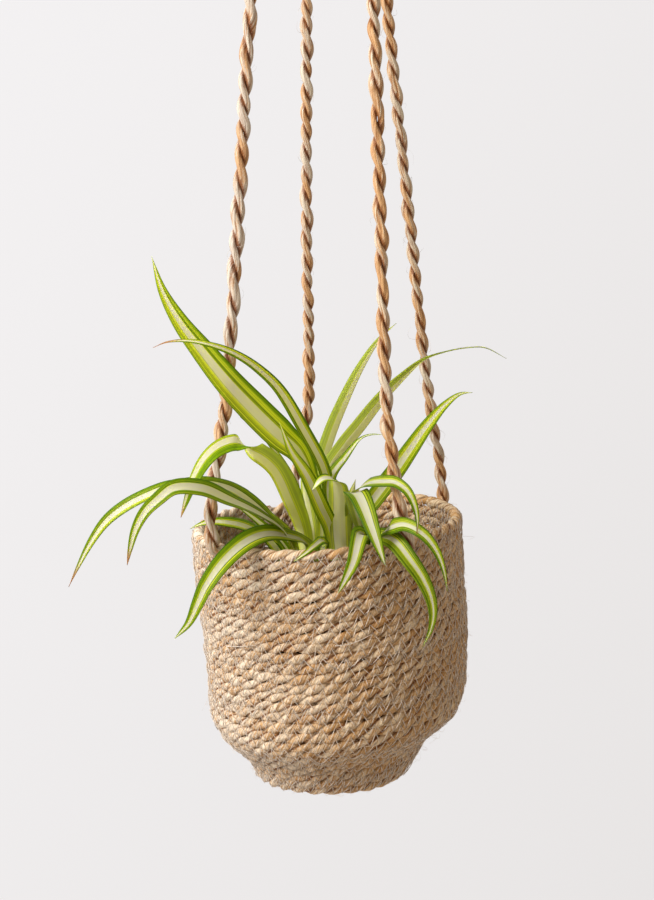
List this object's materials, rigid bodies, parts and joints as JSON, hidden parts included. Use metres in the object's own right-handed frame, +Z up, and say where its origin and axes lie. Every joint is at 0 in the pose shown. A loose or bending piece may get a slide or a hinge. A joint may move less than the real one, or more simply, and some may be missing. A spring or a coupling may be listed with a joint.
{
  "type": "potted spider plant",
  "caption": "Striped spider plant in a grow pot inside a coiled jute hanging basket, carried by twisted jute ropes that meet in a bound knot and a hanging loop.",
  "frame": {"origin": "the point inside the top of the hanging loop that bears on the ceiling hook", "axes": "+Z up, -Y to the front, +X to the right as seen from the front"},
  "size_m": [0.3046, 0.2805, 1.0583],
  "materials": {
    "basket_jute": "coiled jute cord of two twisted strands, sewn with pale thread, matt and fibrous",
    "rope_jute": "two twisted jute strands with a soft sheen",
    "spider_leaf": "satin green blade with a cream stripe down its middle",
    "grow_pot_plastic": "thin black moulded plastic",
    "soil": "dark crumbly potting mix"
  },
  "bodies": {
    "root": {"basket": "basket_jute", "rope_front_left": "rope_jute", "rope_front_right": "rope_jute", "rope_back_right": "rope_jute", "rope_back_left": "rope_jute", "gathering_knot": "rope_jute", "hanging_loop": "rope_jute", "spider_plant_left": "spider_leaf", "spider_plant_right": "spider_leaf", "spider_plant_back": "spider_leaf", "nursery_pot": "grow_pot_plastic", "potting_soil": "soil"}
  },
  "joints": []
}
